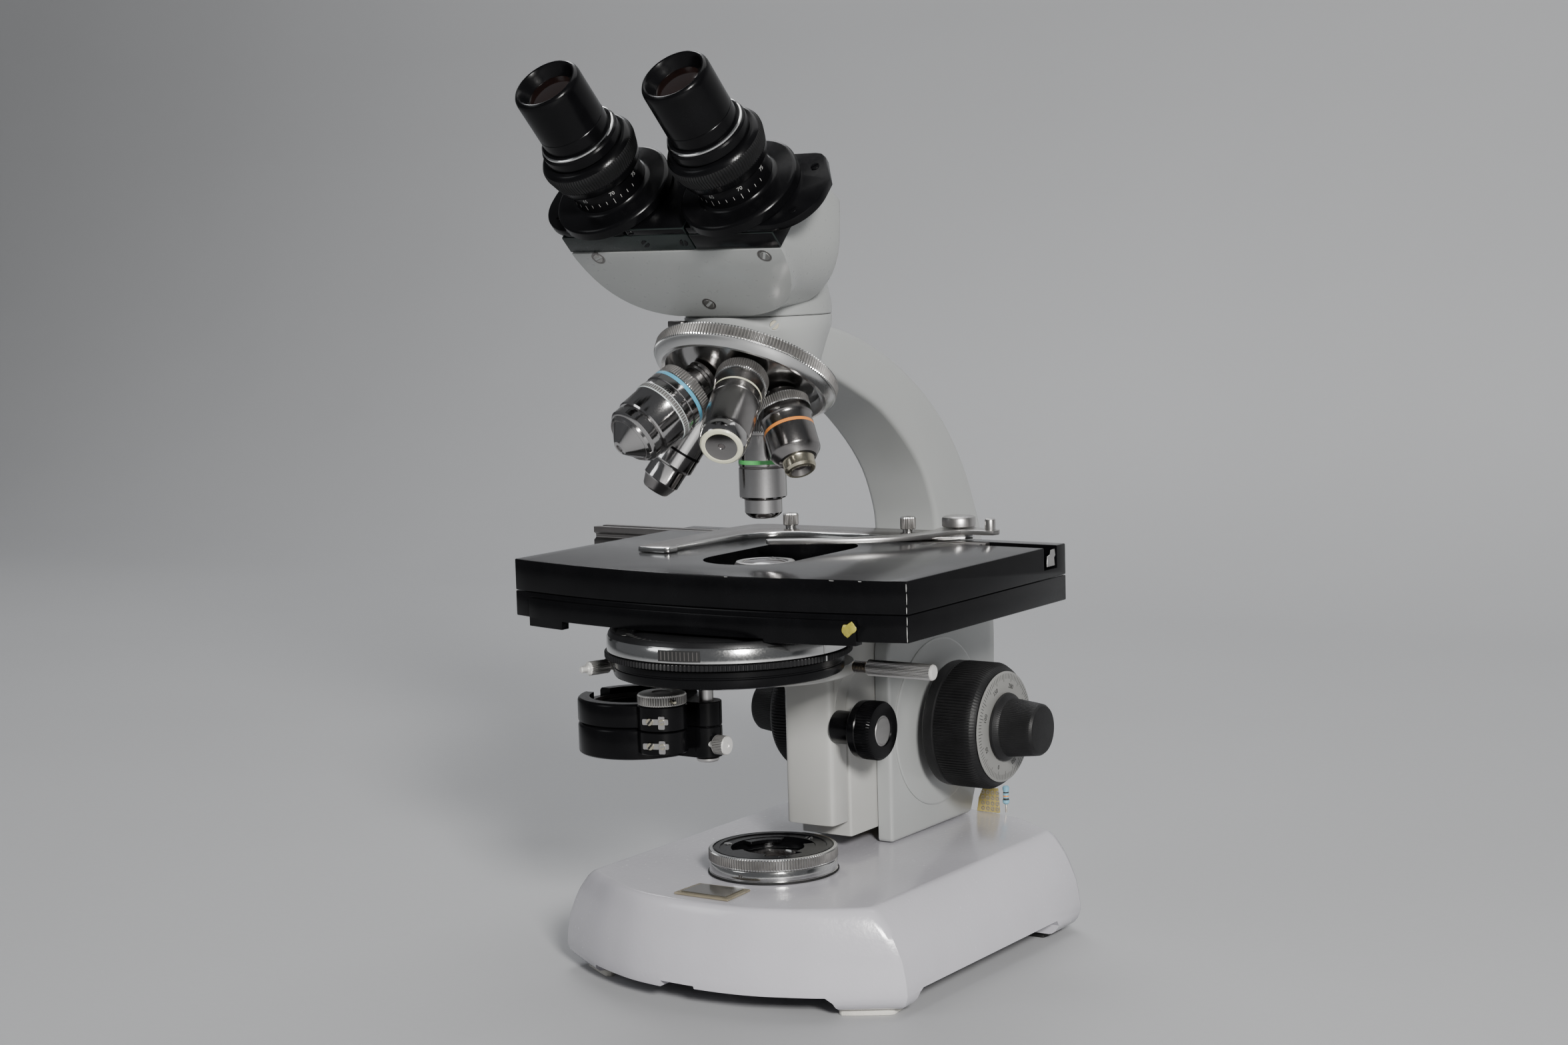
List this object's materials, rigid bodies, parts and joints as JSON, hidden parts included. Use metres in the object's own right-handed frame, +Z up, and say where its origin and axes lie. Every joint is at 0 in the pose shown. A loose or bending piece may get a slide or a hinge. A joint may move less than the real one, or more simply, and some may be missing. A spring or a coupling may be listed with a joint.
{
  "type": "binocular compound microscope",
  "caption": "Upright binocular light microscope with tilting-axis nosepiece, moving stage, turret condenser and swing-out discs.",
  "frame": {"origin": "middle of the underside, on the bench, below the centre of the bounding box", "axes": "+Z up, eyepieces towards -Y, arm at +Y, focus scale on +X"},
  "size_m": [0.2252, 0.252, 0.3613],
  "materials": {
    "grey_paint": "smooth light grey enamel",
    "lilac_paint": "lilac-grey hammertone enamel",
    "head_paint": "mid grey enamel",
    "black_paint": "semi-gloss black",
    "black_anodised": "black anodised",
    "chrome": "polished and knurled",
    "satin_steel": "satin",
    "dial": "silver, printed scale",
    "brass": "machined",
    "felt": "white felt",
    "glass": "clear"
  },
  "bodies": {
    "stand": {"base_casting": "lilac_paint", "foot_fl": "felt", "foot_fr": "felt", "foot_rl": "felt", "foot_rr": "felt", "limb": "grey_paint", "focus_cover_r": "grey_paint", "focus_cover_l": "grey_paint", "lamp_module": "satin_steel", "field_ring_seat": "chrome", "field_lens": "glass", "glass_plate": "glass"},
    "field_ring": {"field_ring": "chrome"},
    "coarse": {"coarse_shaft": "satin_steel", "coarse_knob_r": "black_paint", "coarse_knob_l": "black_paint"},
    "fine": {"fine_shaft": "satin_steel", "fine_knob_r": "black_paint", "fine_knob_l": "black_paint", "fine_dial": "dial"},
    "stage_carrier": {"stage_carrier": "grey_paint", "focus_rack": "brass", "condenser_rack": "brass", "stage_lower_plate": "black_paint"},
    "y_plate": {"stage_upper_plate": "black_paint"},
    "y_knob": {"stage_y_knob": "black_paint"},
    "x_knob": {"stage_x_knob": "black_paint"},
    "x_rail": {"x_rail": "satin_steel", "specimen_holder": "chrome"},
    "finger": {"spring_finger": "chrome"},
    "condenser": {"condenser_carrier": "grey_paint", "rack_sleeve": "black_paint", "condenser_lower_ring": "black_paint", "condenser_cover": "black_anodised", "condenser_head": "black_anodised", "condenser_top_lens": "glass", "swing_post": "satin_steel"},
    "rack_knob": {"rack_knob": "black_paint"},
    "turret": {"turret_wheel": "black_anodised"},
    "screw_r": {"centring_screw_r": "chrome"},
    "screw_l": {"clamp_screw_l": "chrome"},
    "aux_upper": {"swing_disc_upper": "black_paint"},
    "aux_lower": {"swing_disc_lower": "black_paint"},
    "aux_ring": {"aperture_ring": "chrome"},
    "aux_screw": {"thumb_screw": "satin_steel"},
    "nosepiece": {"nosepiece_ring": "chrome", "objective_a": "chrome", "objective_b": "chrome", "objective_c": "satin_steel", "objective_d": "chrome", "objective_e": "chrome"},
    "head": {"prism_housing": "head_paint", "bridge_plate": "black_paint"},
    "tube_l": {"tube_plate_l": "black_paint"},
    "tube_r": {"tube_plate_r": "black_paint"},
    "ring_l": {"tube_ring_l": "black_paint"},
    "ring_r": {"tube_ring_r": "black_paint"},
    "ocular_l": {"eyepiece_l": "black_paint"},
    "ocular_r": {"eyepiece_r": "black_paint"}
  },
  "joints": [
    {"name": "field_ring_turn", "type": "hinge", "parent": "stand", "child": "field_ring", "pos_m": [0.02085, -0.02503, 0.049], "axis": [0, 0, 1], "range_deg": [-60, 60]},
    {"name": "stage_rise", "type": "slide", "parent": "stand", "child": "stage_carrier", "axis": [0, 0, 1], "range_m": [-0.0045, 0.0065]},
    {"name": "coarse_turn", "type": "hinge", "parent": "stand", "child": "coarse", "pos_m": [0.02085, 0.07397, 0.087], "axis": [1, 0, 0], "range_deg": [-98, 68]},
    {"name": "fine_turn", "type": "hinge", "parent": "stand", "child": "fine", "pos_m": [0.02085, 0.07397, 0.087], "axis": [1, 0, 0], "continuous": true},
    {"name": "stage_y", "type": "slide", "parent": "stage_carrier", "child": "y_plate", "axis": [0, 1, 0], "range_m": [-0.036, 0.014]},
    {"name": "y_knob_turn", "type": "hinge", "parent": "y_plate", "child": "y_knob", "pos_m": [-0.05615, 0.03297, 0.135], "axis": [0, 0, 1], "range_deg": [-259, 101]},
    {"name": "stage_x", "type": "slide", "parent": "y_plate", "child": "x_rail", "axis": [1, 0, 0], "range_m": [-0.04, 0.03]},
    {"name": "x_knob_turn", "type": "hinge", "parent": "y_plate", "child": "x_knob", "pos_m": [-0.05615, 0.03297, 0.12], "axis": [0, 0, 1], "range_deg": [-287, 216]},
    {"name": "finger_spring", "type": "hinge", "parent": "x_rail", "child": "finger", "pos_m": [0.06465, 0.05297, 0.1715], "axis": [0, 0, 1], "range_deg": [0, 20], "stiffness_Nm_per_rad": 0.05, "springref_deg": -11.46},
    {"name": "condenser_rise", "type": "slide", "parent": "stage_carrier", "child": "condenser", "axis": [0, 0, 1], "range_m": [-0.0075, 0.0003]},
    {"name": "rack_knob_turn", "type": "hinge", "parent": "condenser", "child": "rack_knob", "pos_m": [0.02085, 0.00697, 0.0952], "axis": [1, 0, 0], "range_deg": [-4, 84]},
    {"name": "turret_turn", "type": "hinge", "parent": "condenser", "child": "turret", "pos_m": [0.02085, -0.05203, 0.135], "axis": [0, 0, 1], "continuous": true},
    {"name": "screw_r_turn", "type": "hinge", "parent": "condenser", "child": "screw_r", "pos_m": [0.07085, -0.01503, 0.125], "axis": [1, 0, 0], "range_deg": [-180, 180]},
    {"name": "screw_l_turn", "type": "hinge", "parent": "condenser", "child": "screw_l", "pos_m": [-0.02815, -0.06523, 0.1272], "axis": [-0.3011, -0.9536, 0], "range_deg": [-180, 180]},
    {"name": "aux_upper_swing", "type": "hinge", "parent": "condenser", "child": "aux_upper", "pos_m": [0.01275, -0.05683, 0.11], "axis": [0, 0, 1], "range_deg": [-104, 0]},
    {"name": "aux_lower_swing", "type": "hinge", "parent": "condenser", "child": "aux_lower", "pos_m": [0.01275, -0.05683, 0.099], "axis": [0, 0, 1], "range_deg": [-104, 0]},
    {"name": "aux_ring_turn", "type": "hinge", "parent": "aux_upper", "child": "aux_ring", "pos_m": [0.00185, -0.07103, 0.1175], "axis": [0, 0, 1], "range_deg": [-90, 90]},
    {"name": "aux_screw_turn", "type": "hinge", "parent": "aux_lower", "child": "aux_screw", "pos_m": [0.01985, -0.06003, 0.0987], "axis": [1, 0, 0], "range_deg": [-180, 180]},
    {"name": "nosepiece_turn", "type": "hinge", "parent": "stand", "child": "nosepiece", "pos_m": [0.02085, -0.02503, 0.2591], "axis": [0, -0.5, -0.866], "continuous": true},
    {"name": "head_turn", "type": "hinge", "parent": "stand", "child": "head", "pos_m": [0.02085, -0.02503, 0.2637], "axis": [0, 0, 1], "range_deg": [-170, 170]},
    {"name": "tube_l_slide", "type": "slide", "parent": "head", "child": "tube_l", "axis": [1, 0, 0], "range_m": [-0.0086, 0.0009]},
    {"name": "tube_r_slide", "type": "slide", "parent": "head", "child": "tube_r", "axis": [1, 0, 0], "range_m": [-0.0009, 0.0086]},
    {"name": "ocular_l_rise", "type": "slide", "parent": "tube_l", "child": "ocular_l", "axis": [0, -0.7071, 0.7071], "range_m": [0, 0.0045]},
    {"name": "ocular_r_rise", "type": "slide", "parent": "tube_r", "child": "ocular_r", "axis": [0, -0.7071, 0.7071], "range_m": [0, 0.0045]},
    {"name": "ring_l_turn", "type": "hinge", "parent": "tube_l", "child": "ring_l", "pos_m": [-0.00805, -0.07746, 0.31277], "axis": [0, -0.7071, 0.7071], "range_deg": [0, 161]},
    {"name": "ring_r_turn", "type": "hinge", "parent": "tube_r", "child": "ring_r", "pos_m": [0.04975, -0.07746, 0.31277], "axis": [0, -0.7071, 0.7071], "range_deg": [0, 161]}
  ],
  "couplings": [
    {"joint": "coarse_turn", "follows": "stage_rise", "rad_per_m": -260},
    {"joint": "y_knob_turn", "follows": "stage_y", "rad_per_m": 125},
    {"joint": "x_knob_turn", "follows": "stage_x", "rad_per_m": 125},
    {"joint": "rack_knob_turn", "follows": "condenser_rise", "rad_per_m": -194},
    {"joint": "tube_r_slide", "follows": "tube_l_slide", "ratio": -1},
    {"joint": "ring_l_turn", "follows": "ocular_l_rise", "rad_per_m": 620},
    {"joint": "ring_r_turn", "follows": "ocular_r_rise", "rad_per_m": 620}
  ]
}
